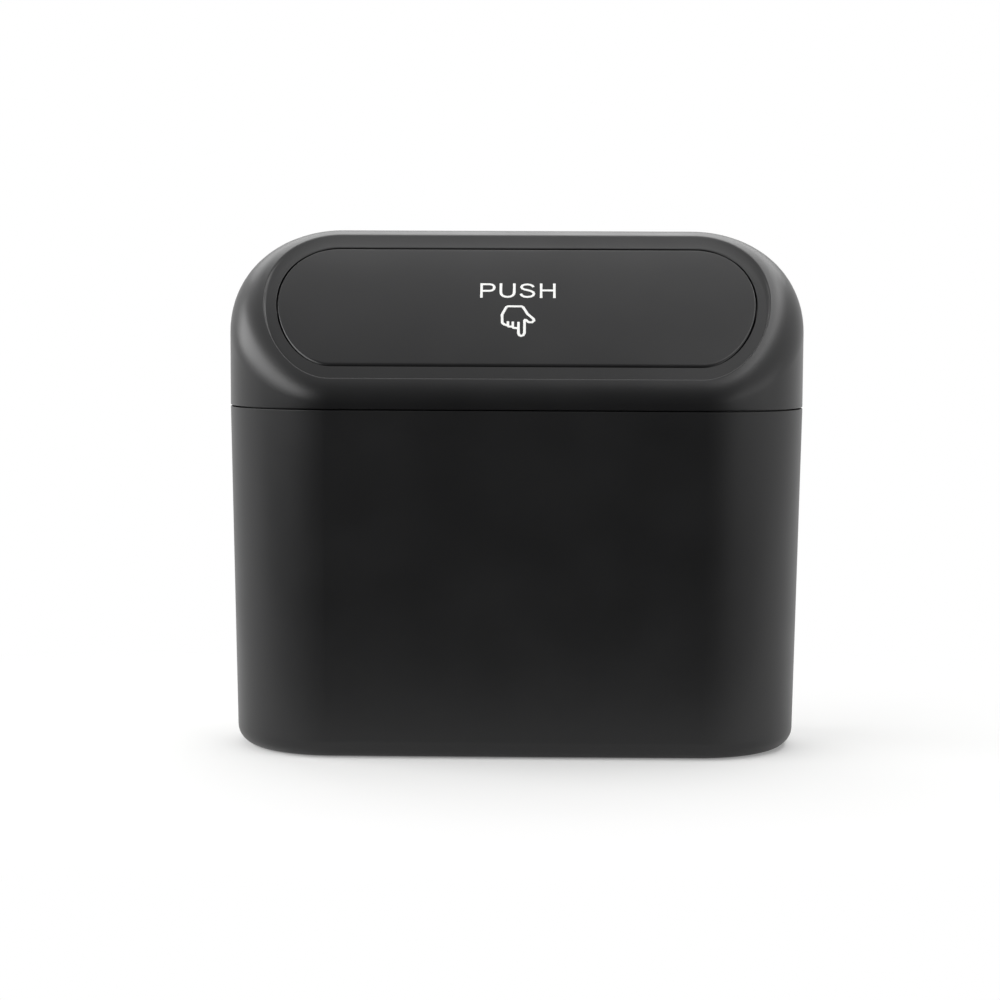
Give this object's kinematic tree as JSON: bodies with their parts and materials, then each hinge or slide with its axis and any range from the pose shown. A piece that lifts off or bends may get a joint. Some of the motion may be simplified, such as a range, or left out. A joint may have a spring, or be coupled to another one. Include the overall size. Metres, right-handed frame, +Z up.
{
  "type": "car trash bin",
  "caption": "Slim car trash bin with a lift-off cover and a sprung push flap in its slanted, bowed top.",
  "frame": {"origin": "middle of the base, on the ground", "axes": "+X to the right across the width, -Y to the front where the slanted flap faces, +Z up"},
  "size_m": [0.155, 0.058, 0.14],
  "materials": {
    "bin_plastic": "satin moulded black",
    "cover_plastic": "satin moulded black",
    "flap_plastic": "satin moulded black",
    "steel_rod": "drawn",
    "spring_steel": "drawn"
  },
  "bodies": {
    "bin": {"bin_body": "bin_plastic"},
    "cover": {"top_cover": "cover_plastic", "hinge_rod": "steel_rod", "left_spring": "spring_steel", "right_spring": "spring_steel"},
    "flap": {"push_flap": "flap_plastic"}
  },
  "joints": [
    {"name": "cover_lift", "type": "slide", "parent": "bin", "child": "cover", "axis": [0, 0, 1], "range_m": [0, 0.06]},
    {"name": "flap_hinge", "type": "hinge", "parent": "cover", "child": "flap", "pos_m": [0, 0.0092, 0.12889], "axis": [1, 0, 0], "range_deg": [0, 64], "stiffness_Nm_per_rad": 0.02, "springref_deg": -34.38, "deforming": ["left_spring", "right_spring"]}
  ]
}
